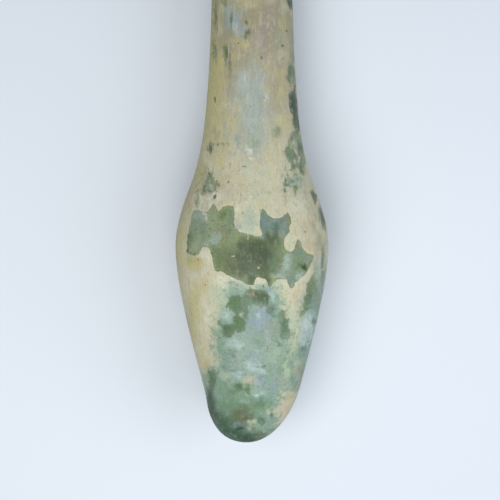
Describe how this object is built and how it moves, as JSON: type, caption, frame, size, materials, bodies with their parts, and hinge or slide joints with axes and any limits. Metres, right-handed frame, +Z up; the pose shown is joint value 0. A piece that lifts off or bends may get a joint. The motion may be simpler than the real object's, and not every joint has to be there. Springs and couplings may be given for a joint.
{
  "type": "roman glass unguentarium",
  "caption": "Small hollow bottle of weathered blown glass for scented oil, with a long neck, a swollen body and a rounded foot, lying on its side.",
  "frame": {"origin": "on the ground under the middle of the lying bottle, at the centre of the bottom of its bounding box", "axes": "+Z up, +Y towards the mouth, +X to the right of a viewer who looks down on it with the mouth away from them; the bottle's own axis dips 2.3 degrees towards the mouth"},
  "size_m": [0.0306, 0.1224, 0.0304],
  "materials": {
    "weathered_glass": "pale green blown glass under a cream weathering crust, flaked off in patches"
  },
  "bodies": {
    "root": {"bottle": "weathered_glass"}
  },
  "joints": []
}
